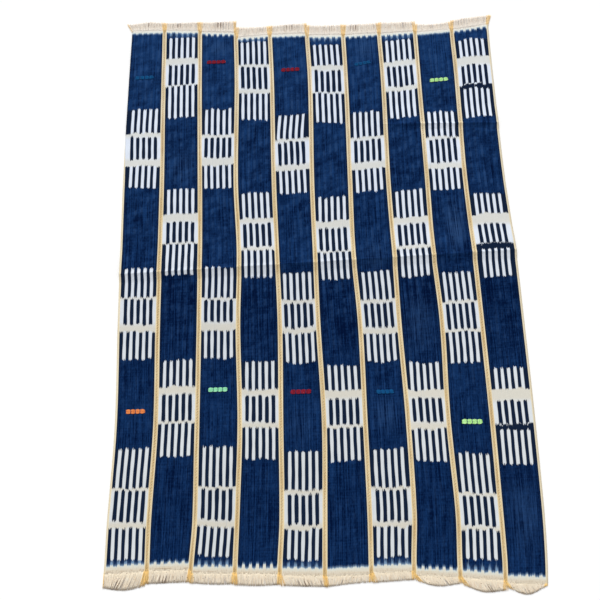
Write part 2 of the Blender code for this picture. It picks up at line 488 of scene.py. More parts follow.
def add_bump(height, distance, sockets):
    """Turn a height from 0 to 1 into a bump of a real depth."""
    node = height.tree.nodes.new("ShaderNodeBump")
    node.inputs["Distance"].default_value = distance
    plug(height, node.inputs["Height"])
    height.tree.links.new(node.outputs["Normal"], sockets["Normal"])


print("helpers are ready")

# %% [markdown]
# ## Weave and fibre
# The warp lies close and covers the weft, so the face shows fine ribs along the strip with a dip
# wherever a weft passes under. Sine waves could draw it, and a brick shift on every second yarn makes
# it a plain weave. The yarn itself is hairy and uneven, which a stretched noise gives.

# %% Group: plain weave
WARP_PITCH = 0.95
WEFT_PITCH = 1.5

weave, (side, run), made = new_group("plain_weave", ["Across", "Along"], ["Height", "Yarn"])
yarn_place = side / WARP_PITCH
yarn = calc("FLOOR", yarn_place)
rib = calc("SINE", calc("PINGPONG", yarn_place, 0.5) * math.pi)
weft_place = run / (2.0 * WEFT_PITCH) + calc("MODULO", yarn, 2.0) * 0.5
over = calc("SINE", calc("PINGPONG", weft_place, 0.5) * math.pi)
plug(rib * (over * 0.5 + 0.5), made["Height"])
plug(yarn, made["Yarn"])
print("weave:", len(weave.nodes), "nodes")

# %% Group: cotton fibre
SLUB_CELL = (0.9, 18.0)
HAIR_CELL = (0.35, 1.6)

fibre, (side, run), made = new_group("cotton_fibre", ["Across", "Along"], ["Shade", "Height"])
slub = grain(side, run, SLUB_CELL, 1.0)
hair = grain(side, run, HAIR_CELL, 1.0)
plug(slub * 0.6 + hair * 0.4, made["Shade"])
plug(hair, made["Height"])
print("fibre:", len(fibre.nodes), "nodes")

# %% [markdown]
# ## The resist bars
# Bundles of warp are tied off before dyeing, five to a strip. A block has three tiers. In the outer
# ones five white bars stand on dark ground, and in the middle one the ground is white and five dark
# bars stand on it. A picture of the pattern could be mapped on, but it would be flat and blurred close
# to. Instead each point of a strip's mesh carries how far it lies inside the block, inside the white
# ground and inside the dark bars, in millimetres. The shader turns these distances into edges that
# wander bar by bar and feather yarn by yarn, the way dye creeps along tied yarn.

# %% Group: resist bars
BAR_PITCH = 16.1
BARS = 5
WHITE_BAR = 3.9
DARK_BAR = 4.6
BAR_EDGE = 0.8
END_EDGE = 1.4
END_ROUNDING = 0.4
FRAY = 2.2
# How far bars and yarns swing from their place, and over what length along the strip
REACH_SWING, REACH_LENGTH = 4.6, 55.0
FEATHER_SWING, FEATHER_LENGTH = 4.4, 35.0
SIDE_SWING, SIDE_LENGTH = 0.9, 90.0
WIDTH_SWING, WIDTH_LENGTH = 0.6, 32.0
FRAY_LENGTH = 60.0
# Where each noise is read, so that no two strips, bars or yarns are alike
STRIP_STEP, BAR_STEP, YARN_STEP = 31.7, 5.3, 3.1
SIDE_START, WIDTH_START, GAP_START, FRAY_START = 400.0, 90.0, 200.0, 700.0
# In the middle strips the dye crept a little further in from both sides
MIDDLE_STRIP = 3.5
MIDDLE_REACH = (3.5, 1.5)
CREPT_IN = 0.15
# Over which millimetres the dark ground starts at a tie and a joint turns into bars
TIE_EDGE = (-3.0, 5.0)
JOINT_EDGE = (9.0, -7.0)

bars, given, made = new_group(
    "resist_bars",
    ["Across", "Along", "Strip", "Yarn", "Block", "Ground", "Dark", "Tied"],
    ["White", "Inside", "Joint"],
)
side, run, strip_number, yarn, block, ground, dark, tied = given
seed = strip_number * STRIP_STEP
column = calc("ROUND", side / BAR_PITCH)
column_seed = column * BAR_STEP + seed
along_bar = run / REACH_LENGTH
placed = side + swing(grain(seed + SIDE_START, run / SIDE_LENGTH), SIDE_SWING)
middle_off = calc("ABSOLUTE", column * -BAR_PITCH + placed)
off = middle_off + swing(grain(column_seed + WIDTH_START, run / WIDTH_LENGTH), WIDTH_SWING)

# Yarns of one bundle creep together, each a little by itself, and the outer ones fray
reach = swing(grain(column_seed, along_bar), REACH_SWING)
yarn_seed = yarn * YARN_STEP + seed
feather = swing(grain(yarn_seed, run / FEATHER_LENGTH), FEATHER_SWING)
fray = grain(yarn_seed + FRAY_START, run / FRAY_LENGTH)
outer_yarn = calc("POWER", off / WHITE_BAR, 4.0)
creep = reach + feather - outer_yarn * (fray * FRAY + END_ROUNDING)

in_row = calc("LESS_THAN", calc("ABSOLUTE", side), BAR_PITCH * BARS / 2)
crept = soft_step(calc("ABSOLUTE", strip_number - MIDDLE_STRIP), *MIDDLE_REACH) * CREPT_IN
white_bars = soft_step(off + crept, WHITE_BAR + BAR_EDGE, WHITE_BAR - BAR_EDGE) * in_row
dark_bars = soft_step(off - crept, DARK_BAR + BAR_EDGE, DARK_BAR - BAR_EDGE) * in_row

# The dark gaps between the white bars end in their own way, half a pitch to the side
gap_seed = calc("FLOOR", side / BAR_PITCH) * BAR_STEP + seed + GAP_START
gap_creep = swing(grain(gap_seed, along_bar), REACH_SWING) + feather

in_block = soft_step(block + creep, -END_EDGE, END_EDGE)
in_ground = soft_step(ground + gap_creep, -END_EDGE, END_EDGE)
in_dark = soft_step(dark + creep, -END_EDGE, END_EDGE)
on_dark = white_bars * in_block * (1.0 - in_ground)
on_white = (1.0 - dark_bars * in_dark) * in_ground
plug(on_white + on_dark, made["White"])
plug(soft_step(tied, *TIE_EDGE), made["Inside"])
plug(in_ground * soft_step(dark, *JOINT_EDGE), made["Joint"])
print("bars:", len(bars.nodes), "nodes")

# %% [markdown]
# ## The cloth's finish
# Indigo is never even: some warps took more dye than others, which leaves pale streaks along the
# strip. The ends were dipped by hand, so the blue stops in uneven teeth that pass through pale blue.
# One material carries all of it, and its masks come from the mesh, so the pattern sits on the cloth
# and not on the floor plan. It would also work as ten images, which would need far more memory.

# %% Colours of the dyed strips
NAVY = paint(26, 63, 115)
NAVY_DEEP = paint(0, 18, 54)
NAVY_PALE = paint(56, 90, 138)
INK = paint(20, 35, 60)
PALE_BLUE = paint(140, 172, 205)
UPPER_WHITE, LOWER_WHITE = paint(240, 248, 255), paint(236, 241, 243)
UPPER_JOINT, LOWER_JOINT = paint(233, 235, 232), paint(233, 228, 213)
UPPER_CREAM, LOWER_CREAM = paint(242, 244, 237), paint(240, 236, 220)
UPPER_CUT, LOWER_CUT = paint(242, 235, 225), paint(238, 226, 204)
HALO = paint(224, 235, 233)
PICK_BROWN = paint(176, 138, 96)
OCHRE, OCHRE_DEEP = paint(252, 232, 186), paint(230, 202, 150)
UPPER_OCHRE, UPPER_OCHRE_DEEP = paint(254, 240, 208), paint(234, 212, 170)
OCHRE_PALE = paint(250, 238, 208)
OCHRE_END = paint(228, 194, 136)
SHADE, COOL_SHADE = paint(120, 120, 126), paint(122, 136, 205)

# %% Material: dyed strips
STRIP_PITCH = 102.0
SELVEDGE = 5.4
SELVEDGE_LINE = 1.7
# How far each kind of unevenness swings the dye, and the size of its cells across and along. The slanted
# cloud is uneven dye and, in the upper part, also painted sheen and shade on the crumples
CLOUD_AND_SHEEN_SWING, CLOUD_AND_SHEEN_CELL, CLOUD_AND_SHEEN_SLANT = 0.45, (42.0, 24.0), 0.5
STREAK_SWING, STREAK_CELL = 0.62, (3.2, 110.0)
DASH_SWING, DASH_CELL = 0.35, (2.2, 7.0)
WEFT_SWING, WEFT_CELL = 0.15, (30.0, 3.2)
# The dye's end swings by a few yarns together and by single yarns
TOOTH_SWING, TOOTH_WIDTH = 2.4, 4.5
YARN_SWING = 2.8
# The heights over which the cloth changes from its lower to its upper part
UPPER_RANGE = (-600.0, 500.0)
OCHRE_RANGE = (150.0, 450.0)
LOWER_RANGE = (100.0, -100.0)
# Millimetres inside the dye's end over which a colour comes in. Below 0 they lie on the undyed end
FADE_TO_END = (22.0, 2.0)
PALE_TO_END = (7.0, -1.0)
DYE_EDGE = (-1.5, 2.0)
HALO_EDGE = (-6.0, 0.0)
CREAM_TO_CUT = (-3.0, -12.0)
LOOSE_TO_CUT = (-2.0, -16.0)
OCHRE_TO_CUT = (4.0, -8.0)
PICK_PLACE = -12.5
PICK_WIDTH = (1.1, 0.4)
# Millimetres inside a faded part over which its pale yarns come in
FADE_EDGE = (-2.0, 3.0)
# Millimetres from the strip's edge over which its lines and its border come in
INK_LINE = (SELVEDGE + 6.0, SELVEDGE + 2.0)
PALE_LINE = (SELVEDGE - SELVEDGE_LINE, SELVEDGE - 0.5)
BORDER_EDGE = (SELVEDGE + 0.6, SELVEDGE - 0.2)
# How many strips away from the middle one, and from the first one, a look fades out and is full
GREY_REACH = (4.5, 1.5)
PICK_REACH = (3.0, 1.0)
WEAVE_DEPTH = 0.00018

cloth_finish, tree, sockets = new_material("indigo_weave", 0.95, 0.03)
x_mm, y_mm, strip_number, dye_and_shade, edge_mm, dyed_mm = (
    measured(tree, name) for name in ("across", "along", "strip", "dye_and_shade", "edge", "dyed")
)
x_all = strip_number * STRIP_PITCH + x_mm
weave_out = use_group(tree, weave, {"Across": x_all, "Along": y_mm})
fibre_out = use_group(tree, fibre, {"Across": x_all, "Along": y_mm})
bars_out = use_group(tree, bars, {
    "Across": x_mm,
    "Along": y_mm,
    "Strip": strip_number,
    "Yarn": weave_out["Yarn"],
    **{label: measured(tree, label.lower()) for label in ("Block", "Ground", "Dark", "Tied")},
})

# Indigo: how weakly a place took the dye, with painted shade below the main fold, clouds that in the upper
# part also paint the sheen and shade of the crumples, streaks along the warp and dashes of single yarns
upper = soft_step(y_mm, *UPPER_RANGE)
cloud_and_sheen = grain(y_mm * CLOUD_AND_SHEEN_SLANT + x_all, x_all * -CLOUD_AND_SHEEN_SLANT + y_mm, CLOUD_AND_SHEEN_CELL, 2.0)
streak = grain(x_all, y_mm, STREAK_CELL, 1.0)
dash = grain(x_all, y_mm, DASH_CELL, 1.0)
weft_row = grain(x_all, y_mm, WEFT_CELL)
uneven = swing(cloud_and_sheen, CLOUD_AND_SHEEN_SWING) * (upper * 0.7 + 0.3) + swing(streak, STREAK_SWING)
uneven = uneven + (swing(dash, DASH_SWING) + swing(weft_row, WEFT_SWING))
indigo = mix(dye_and_shade + uneven, NAVY_DEEP, NAVY)

# The tied bundles took the dye a little more weakly than the warps between them, and washes are paler
bundle_wave = calc("COSINE", x_mm * (math.tau / BAR_PITCH))
bundle = soft_step(bundle_wave, 0.0, 0.5)
indigo = mix(bundle * soft_step(cloud_and_sheen, 0.4, 0.7) * (upper * 0.2 + 0.1), indigo, NAVY_PALE)
indigo = mix(measured(tree, "wash") * soft_step(streak, 0.3, 0.7), indigo, NAVY_PALE)
indigo = mix(bars_out["Inside"], indigo, INK)

# A dark line where the blue warps meet the selvedge
indigo = mix(soft_step(edge_mm, *INK_LINE) * 0.75, indigo, INK)

# White bars, cooler in the upper part, greyer in the middle strips and with painted shade below the main
# fold, and the warmer bands between tiers
bar_white = mix(upper, LOWER_WHITE, UPPER_WHITE)
white = mix(bars_out["Joint"], bar_white, mix(upper, LOWER_JOINT, UPPER_JOINT))
white = mix(soft_step(streak, 0.6, 0.9) * 0.25, white, PALE_BLUE)
greyer = soft_step(calc("ABSOLUTE", strip_number - MIDDLE_STRIP), *GREY_REACH) * 0.05
white = deepen(soft_step(dye_and_shade, 0.45, 0.2) * 0.06 + greyer, white, SHADE)
dyed = mix(bars_out["White"], indigo, white)

# Where the tied bundles fade out near the ends, pale blue yarns rise out of the undyed end
fade_yarn = grain(weave_out["Yarn"] * 2.7, y_mm / 30.0)
rising = soft_step(dyed_mm, *FADE_TO_END) * 0.7 + fade_yarn
faded = soft_step(measured(tree, "faded"), *FADE_EDGE) * soft_step(rising, 0.7, 1.3)
dyed = mix(faded * (soft_step(bundle_wave, -0.3, 0.9) * 0.9 + 0.05), dyed, PALE_BLUE)

# Undyed ends. The tied bundles end first, so the edge has one pale tooth for each
tooth = swing(grain(x_all / TOOTH_WIDTH, strip_number * 3.3, detail=1.0), TOOTH_SWING)
tooth_yarn = swing(grain(weave_out["Yarn"] * 4.9, strip_number), YARN_SWING)
bundle_tooth = measured(tree, "teeth") * (0.5 - bundle)
end_mm = dyed_mm + (tooth + tooth_yarn + bundle_tooth)
dyed = mix(soft_step(end_mm, *PALE_TO_END) * 0.75, dyed, PALE_BLUE)

# The undyed ends are cooler beside the dye and warmer at the cut, where their warps already part
lower_end = soft_step(y_mm, *LOWER_RANGE)
inner = mix(lower_end, UPPER_CREAM, LOWER_CREAM)
cream = mix(soft_step(dyed_mm, *CREAM_TO_CUT), inner, mix(lower_end, UPPER_CUT, LOWER_CUT))
cream = mix(soft_step(end_mm, *HALO_EDGE) * 0.7, cream, HALO)
cream = mix(soft_step(grain(x_all, y_mm, (60.0, 1.8)), 0.5, 0.8) * 0.2, cream, OCHRE_DEEP)
loose = soft_step(dash, 0.5, 0.75) * soft_step(dyed_mm, *LOOSE_TO_CUT)
cream = mix(loose * 0.45, cream, PICK_BROWN)

# Near the lower cut of the first strips runs a pick of brown yarn
pick = soft_step(calc("ABSOLUTE", dyed_mm - PICK_PLACE), *PICK_WIDTH)
pick = pick * soft_step(grain(x_all / 35.0, strip_number), 0.4, 0.6)
pick = pick * (soft_step(strip_number, *PICK_REACH) * 0.45 + 0.15)
cream = mix(pick * lower_end, cream, PICK_BROWN)
cloth_colour = mix(soft_step(end_mm, *DYE_EDGE), cream, dyed)

# Ochre border yarns with a pale line on their inner side
ochre_shade = soft_step(streak, 0.35, 0.65)
ochre = mix(ochre_shade, OCHRE, OCHRE_DEEP)
upper_ochre = mix(ochre_shade, UPPER_OCHRE, UPPER_OCHRE_DEEP)
ochre = mix(soft_step(y_mm, *OCHRE_RANGE), ochre, upper_ochre)
ochre = mix(soft_step(dyed_mm, *OCHRE_TO_CUT), ochre, OCHRE_END)
ochre = mix(soft_step(edge_mm, *PALE_LINE), ochre, OCHRE_PALE)
ochre = mix(measured(tree, "outer") * 0.75, ochre, OCHRE_PALE)
cloth_colour = mix(soft_step(edge_mm, *BORDER_EDGE), cloth_colour, ochre)

# Shade between the yarns, which looks bluer on the upper white bars
between_fibres = (1.0 - weave_out["Height"]) * 0.16 + (1.0 - fibre_out["Shade"]) * 0.2
between_yarns = mix((bars_out["White"] - bars_out["Joint"]) * upper, SHADE, COOL_SHADE)
plug(deepen(between_fibres, cloth_colour, between_yarns), sockets["Base Color"])
add_bump(fibre_out["Height"] * 0.35 + weave_out["Height"], WEAVE_DEPTH, sockets)
print("dyed strips:", len(tree.nodes), "nodes")

# %% [markdown]
# ## Yarn finishes
# The fringe, the stitches and the laid-in yarns are plain cotton in one colour each. They share one
# recipe: the colour, a darker shade of it between the fibres, and a bump of fine hairs.

# %% Material: yarns
YARN_ROUGHNESS = 0.9
YARN_SPECULAR = 0.08
HAIR_DEPTH = 0.0001
MOTE_CELL = (2.6, 2.6)
# How strong the painted shadow along the fringe's lower tips is
TIP_SHADE = 0.5
# The shares of a thread's run over which it leaves its root, takes painted shade where slits open, and
# takes a painted shadow at its lower tip
ROOT_RUN = (0.45, 0.1)
SLIT_SHADE_RUN = (0.15, 0.6)
TIP_RUN = (0.9, 1.0)
# Brown for the painted shade in the slits and the painted shadow along the lower tips, and for the motes
SHADE_AND_MOTE_BROWN = paint(104, 70, 46)
UPPER_THREAD, UPPER_DEEP = paint(245, 241, 232), paint(234, 218, 201)
UPPER_GOLD, LOWER_GOLD = paint(255, 232, 184), paint(255, 224, 152)
GOLD_DEEP = paint(236, 192, 120)


def make_yarn(name, colour, deep, shaded=False):
    """Cotton yarn in a colour and its deeper shade. A shaded one also varies thread by thread and takes
    painted shade in the slits and a painted shadow along the lower tips.
    """
    material, tree, sockets = new_material(name, YARN_ROUGHNESS, YARN_SPECULAR)
    parts = tree.nodes.new("ShaderNodeSeparateXYZ")
    tree.links.new(tree.nodes.new("ShaderNodeTexCoord").outputs["Object"], parts.inputs["Vector"])
    x = Value(tree, parts.outputs["X"]) / MM
    y = Value(tree, parts.outputs["Y"]) / MM
    out = use_group(tree, fibre, {"Across": x, "Along": y})
    depth = soft_step(out["Shade"], 0.7, 0.3)
    body = mix(depth, colour, deep)
    if shaded:
        run = measured(tree, "run")
        above = soft_step(y, *reversed(LOWER_RANGE))
        body = mix(above, body, mix(depth, UPPER_THREAD, UPPER_DEEP))
        body = mix(soft_step(run, *ROOT_RUN), body, mix(above, LOWER_CUT, UPPER_CUT))
        gold = mix(depth, mix(above, LOWER_GOLD, UPPER_GOLD), GOLD_DEEP)
        body = mix(measured(tree, "ochre"), body, gold)
        # Painted shade: brown in the slits between bunches and a painted shadow along the lower tips. The
        # motes are specks in the cotton
        slit_shade = measured(tree, "shade") * soft_step(run, *SLIT_SHADE_RUN)
        mote = soft_step(grain(x, y, MOTE_CELL), 0.78, 0.9)
        tip = soft_step(run, *TIP_RUN) * TIP_SHADE * (1.0 - above)
        shade = calc("MAXIMUM", calc("MAXIMUM", slit_shade, mote), tip)
        body = mix(shade * 0.95, body, SHADE_AND_MOTE_BROWN)
    plug(body, sockets["Base Color"])
    add_bump(out["Height"], HAIR_DEPTH, sockets)
    return material


fringe_finish = make_yarn("undyed_threads", paint(251, 244, 228), paint(239, 220, 193), shaded=True)
stitch_finish = make_yarn("ochre_thread", paint(244, 216, 164), paint(208, 172, 118))
warp_finish = make_yarn("indigo_warp", paint(31, 66, 114), paint(10, 28, 66))
YARNS = {
    "red_yarn": make_yarn("red_wool", paint(160, 36, 54), paint(94, 24, 42)),
    "blue_yarn": make_yarn("blue_wool", paint(22, 98, 152), paint(10, 62, 112)),
    "lime_yarn": make_yarn("lime_wool", paint(210, 250, 184), paint(156, 220, 124)),
    "green_yarn": make_yarn("green_wool", paint(176, 242, 198), paint(112, 196, 146)),
    "orange_yarn": make_yarn("orange_wool", paint(248, 156, 92), paint(206, 112, 60)),
}
print("yarn finishes:", 3 + len(YARNS))

# %% [markdown]
# ## Floor
# A plain pale floor under the cloth, a hair below it, large enough to fill every view.

# %% Floor
FLOOR_SIZE = 9.0
FLOOR_LEVEL = -0.0002


def to_mesh(name, cage):
    """The mesh that a cage makes."""
    mesh = bpy.data.meshes.new(name)
    cage.to_mesh(mesh)
    cage.free()
    return mesh


cage = bmesh.new()
bmesh.ops.create_grid(cage, x_segments=1, y_segments=1, size=FLOOR_SIZE / 2)
bmesh.ops.translate(cage, verts=cage.verts, vec=(0.0, 0.0, FLOOR_LEVEL))
floor_finish, tree, sockets = new_material("pale_floor", 0.9, 0.1)
sockets["Base Color"].default_value = paint(251, 251, 251)
floor = bpy.data.objects.new("floor", to_mesh("floor", cage))
floor.data.materials.append(floor_finish)
scene.collection.objects.link(floor)
print("the floor is", FLOOR_SIZE, "m square")

# %% [markdown]
# ## Helpers for the pieces
# Every piece is a bmesh in table millimetres until the last moment. One helper moves it into the frame
# and makes it ride with the cloth. Another bends a short straight tube along a path, for the hundreds
# of threads and stitches: drawing each by hand or as a curve would be slower and heavier.

# %% Finish a piece
def make_piece(name, cage, material, slot_name, *nodes):
    """Turn a cage in table millimetres into a piece that rides with the cloth."""
    bmesh.ops.recalc_face_normals(cage, faces=cage.faces)
    bmesh.ops.translate(cage, verts=cage.verts, vec=(-MIDDLE_X, -MIDDLE_Y, 0.0))
    bmesh.ops.scale(cage, verts=cage.verts, vec=(MM, MM, MM))
    mesh = to_mesh(name, cage)
    mesh.materials.append(material)
    mesh.shade_smooth()
    piece = bpy.data.objects.new(name, mesh)
    scene.collection.objects.link(piece)
    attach(piece, "root")
    if nodes:
        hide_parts(*nodes)
    return piece


# %% Bend a thread along a path
# Threads stay this far above the floor, and their run is measured over this share of their length
LOWEST = 0.02
RUN_STEP = 0.02
# How much the sizes of threads, stitches and floats vary
VARIED = (0.85, 1.15)


def straight_thread(sides, steps, tip_share):
    """A closed tube along Z from 0 to 1 with a radius of 1, cut into steps."""
    cage = bmesh.new()
    bmesh.ops.create_cone(cage, cap_ends=True, segments=sides, radius1=1.0, radius2=tip_share, depth=1.0)
    bmesh.ops.translate(cage, verts=cage.verts, vec=(0.0, 0.0, 0.5))
    for step in range(1, steps):
        parts = cage.verts[:] + cage.edges[:] + cage.faces[:]
        bmesh.ops.bisect_plane(cage, geom=parts, plane_co=(0, 0, step / steps), plane_no=(0, 0, 1))
    return to_mesh("straight_thread", cage)


def lay_thread(cage, thread, path, radius, layers=(), run=None):
    """Add a thread along a path from 0 to 1, flat where it meets the floor. The run layer keeps how far."""
    first = len(cage.verts)
    cage.from_mesh(thread)
    cage.verts.ensure_lookup_table()
    for vert in cage.verts[first:]:
        at = min(max(vert.co.z, 0.0), 1.0)
        ahead = (path(min(at + RUN_STEP, 1.0)) - path(max(at - RUN_STEP, 0.0))).normalized()
        side = ahead.cross(Vector((0.0, 0.0, 1.0))).normalized()
        up = side.cross(ahead)
        vert.co = path(at) + side * vert.co.x * radius + up * vert.co.y * radius
        vert.co.z = max(vert.co.z, LOWEST)
        for layer, value in layers:
            vert[layer] = value
        if run:
            vert[run] = at


thread_mesh = straight_thread(sides=5, steps=5, tip_share=0.8)
print("a thread has", len(thread_mesh.polygons), "faces")

# %% [markdown]
# ## The pattern's chart
# Each strip has three blocks. The chart gives the heights at which a block's three tiers start and
# stop, and how the steps slant and arch across the strip at its top and at its foot. It is read from the
# photo, as a weaver would chart it.

# %% Chart of the blocks
# strip, top and foot of the first, second and third tier, slant at top and foot, arch at top and foot
CHART = (
    (1, 477, 404, 392, 326, 306, 243, -1, -3, 1, 0),
    (1, 15, -60, -64, -131, -148, -218, -4, -2, 0, 1),
    (1, -434, -525, -529, -601, -612, -682, -3, -3, 0, 1),
    (2, 704, 636, 617, 551, 549, 449, 1, 6, 2, 0),
    (2, 235, 165, 143, 85, 81, -3, 0, 0, 3, 2),
    (2, -223, -290, -307, -372, -377, -455, 2, 0, 1, 2),
    (3, 473, 394, 386, 325, 303, 237, -2, 1, -1, -4),
    (3, 13, -67, -71, -131, -150, -220, -6, -3, -1, -4),
    (3, -434, -527, -531, -602, -615, -679, -5, -8, -1, -3),
    (4, 685, 610, 602, 531, 517, 437, 0, -6, 0, 0),
    (4, 220, 146, 134, 67, 58, -14, 3, -2, 0, 0),
    (4, -232, -303, -316, -381, -393, -467, 0, -7, 0, 0),
    (5, 447, 375, 367, 299, 282, 217, 7, 3, 0, -4),
    (5, -5, -78, -86, -150, -163, -238, 2, 0, -2, -6),
    (5, -451, -540, -548, -616, -625, -692, -2, -2, -3, -5),
    (6, 668, 600, 585, 514, 512, 420, 0, -5, 0, -2),
    (6, 200, 134, 114, 49, 46, -26, 3, 0, 0, -3),
    (6, -249, -310, -329, -394, -399, -476, 1, 1, -1, 0),
    (7, 450, 375, 367, 300, 279, 215, 8, 6, 0, 0),
    (7, -7, -81, -90, -156, -171, -241, 3, 3, -4, -4),
    (7, -451, -539, -544, -615, -626, -692, 0, 0, -3, -3),
    (8, 678, 608, 593, 528, 515, 429, 9, 9, 0, 0),
    (8, 215, 139, 120, 58, 50, -27, 5, 5, 0, 0),
    (8, -248, -315, -334, -393, -408, -483, -4, -4, 0, 0),
    (9, 443, 367, 362, 290, 274, 212, 3, 3, 2, 2),
    (9, -18, -92, -99, -167, -174, -251, 2, 2, 1, 1),
    (9, -469, -557, -564, -633, -639, -704, -7, -7, 0, 0),
    (10, 671, 614, 588, 524, 515, 423, 6, 6, 6, 6),
    (10, 196, 139, 112, 55, 42, -34, 3, 3, 5, 5),
    (10, -267, -319, -346, -406, -415, -497, 1, 1, 2, 2),
)
FIRST_TIER, SECOND_TIER, THIRD_TIER = 1, 3, 5
STEPS = range(1, 7)
# On this strip the dye closed the joint between the second and the third tier
CLOSED_STRIP = 10
CLOSED_MARGIN = 2.0
CLOSED_OVERLAP = 8.0
# Even strips whose first tier fades into pale blue above. Odd strips all fade below
FADED_ABOVE = (2, 4, 6, 8)
NO_FADE = -50.0
# How deep the pale teeth cut into the dye at each strip's upper and lower end
TEETH = ((2, 3), (3, 5), (6, 5), (5, 9), (2, 3), (4, 1), (5, 3), (5, 6), (0, 4), (5, 3))
# How pale the blue is along the cloth's length, partly from the dye and partly painted shade, deepest just
# below the main fold where the cloth slopes away from the light: y, from 0 for deep to 1 for pale
DYE_AND_SHADE = (
    (-760, 0.42), (-600, 0.32), (-500, 0.3), (-420, 0.38), (-330, 0.43), (-240, 0.32), (-130, 0.22),
    (-20, 0.23), (30, 0.38), (150, 0.44), (300, 0.45), (450, 0.5), (600, 0.66), (760, 0.78),
)
# Washes, where the blue is paler: x, y, half length in x and in y, strength
WASHES = (
    (368, 112, 34, 90, 0.7),
    (-252, 668, 42, 34, 0.5),
    (160, 655, 40, 50, 0.5),
    (150, 30, 45, 60, 0.2),
    (-350, 300, 50, 70, 0.25),
    (152, -370, 44, 60, 0.35),
    (-55, -390, 42, 50, 0.2),
    (252, -140, 48, 110, 0.25),
    (462, -610, 52, 130, 0.25),
)
# Where the bars of a strip lean off its run: strip, y, how far to the right
BAR_LEAN = ((5, 460, 1.0), (5, 380, -5.0), (5, 362, -2.5), (5, 250, 0.0))


def step_y(row, column, share):
    """The height of one of a block's six steps at a share of the strip's width."""
    down = (column - STEPS[0]) / (STEPS[-1] - STEPS[0])
    slant = row[7] + (row[8] - row[7]) * down
    arch = row[9] + (row[10] - row[9]) * down
    return row[column] + slant * (share - 0.5) + arch * (0.5 - (2 * share - 1) ** 2)


def between(y, foot, top):
    """Millimetres from the nearer of two edges, positive between them."""
    return min(y - foot, top - y)


def chart_at(strip, share, y):
    """How far a point lies inside the blocks, their white ground, dark bars and ties, and the fades."""
    rows = [row for row in CHART if row[0] == strip + 1]
    closed = strip + 1 == CLOSED_STRIP
    block, ground, dark, tied = [], [], [], []
    for row in rows:
        steps = [0.0] + [step_y(row, column, share) for column in STEPS]
        first_top, first_foot = steps[FIRST_TIER], steps[FIRST_TIER + 1]
        second_top, second_foot = steps[SECOND_TIER], steps[SECOND_TIER + 1]
        third_top, third_foot = steps[THIRD_TIER], steps[THIRD_TIER + 1]
        tied.append(between(y, third_foot, first_top))
        if closed:
            dark.append(between(y, second_foot - CLOSED_OVERLAP, second_top))
            ground.append(between(y, second_foot + CLOSED_MARGIN, first_foot))
            block.append(between(y, second_foot + CLOSED_MARGIN, first_top))
            block.append(between(y, third_foot, third_top - CLOSED_MARGIN))
        else:
            dark.append(between(y, second_foot, second_top))
            ground.append(between(y, third_top, first_foot))
            block.append(between(y, third_foot, first_top))
    if (strip + 1) % 2:
        faded = between(y, dye_end(strip, -1, share), step_y(rows[-1], THIRD_TIER + 1, share))
    elif strip + 1 in FADED_ABOVE:
        faded = between(y, step_y(rows[0], FIRST_TIER, share), dye_end(strip, 1, share))
    else:
        faded = NO_FADE
    return max(block), max(ground), max(dark), max(tied), faded


def wash_at(x, y):
    """How much paler than around it the blue is at a place."""
    return sum(row[4] * bump(x - row[0], row[2]) * bump(y - row[1], row[3]) for row in WASHES)


def bar_shift(strip, y):
    """How far the bars of a strip lean off its run at a height."""
    rows = sorted(row[1:] for row in BAR_LEAN if row[0] == strip + 1)
    return column_at(rows, y) if rows else 0.0


print("the chart has", len(CHART), "blocks")

# %% [markdown]
# ## The strips
# A strip is one length of cloth from cut end to cut end. It starts as a flat grid, is moved onto its
# seams and folds, and is raised to its thickness, with its selvedges a little thinner than its middle.
# A Solidify modifier could raise it too, but the thinner edge is easier by hand.

# %% Strips
STRIP_COLUMNS = 18
EVEN_ROWS = 320
CREASE_ROWS = range(-24, 25, 2)
SELVEDGE_THICKNESS = 0.85
END_THICKNESS = 0.45
END_TAPER = 6.0
# On the outer edges of the cloth the border is narrower, most of all at the upper left
OUTER_LEFT = ((-760, 1.2), (250, 1.2), (420, 6.2), (760, 6.2))
OUTER_RIGHT = 0.4
# The numbers that each point carries for the finish
NUMBERS = (
    "across", "along", "edge", "outer", "strip", "dyed", "teeth", "dye_and_shade", "wash",
    "block", "ground", "dark", "tied", "faded",
)


def flat_grid(columns, rows):
    """A grid whose points stand at whole numbers of columns and rows."""
    cage = bmesh.new()
    bmesh.ops.create_grid(cage, x_segments=columns, y_segments=rows, size=0.5)
    for vert in cage.verts:
        vert.co.x = round((vert.co.x + 0.5) * columns)
        vert.co.y = round((vert.co.y + 0.5) * rows)
    return cage


def row_places(strip, share):
    """The heights of a strip's cross rows: even ones, and closer ones over each crease."""
    foot, top = cut_end(strip, -1, share), cut_end(strip, 1, share)
    rows = [foot + (top - foot) * row / EVEN_ROWS for row in range(EVEN_ROWS + 1)]
    for fold, *_ in CREASES:
        middle = fold_y(fold, across(strip, share, 0))
        rows += [middle + step for step in CREASE_ROWS]
    return sorted(rows)


def selvedge_place(strip, share, y):
    """Millimetres from a strip's edge, as its border sees them, and whether the edge is an outer one."""
    edge = from_edge(strip, share, y)
    if strip == 0 and share < 0.5:
        return edge + column_at(OUTER_LEFT, y), 1.0
    if strip == STRIPS - 1 and share > 0.5:
        return edge + OUTER_RIGHT, 1.0
    return edge, 0.0


def thickness_at(strip, share, y):
    """The cloth is thinner along its selvedges and towards its cut ends."""
    full = SELVEDGE_THICKNESS if share in (0.0, 1.0) else THICKNESS
    to_end = min(between(y, cut_end(strip, -1, share), cut_end(strip, 1, share)) / END_TAPER, 1.0)
    return END_THICKNESS + (full - END_THICKNESS) * to_end


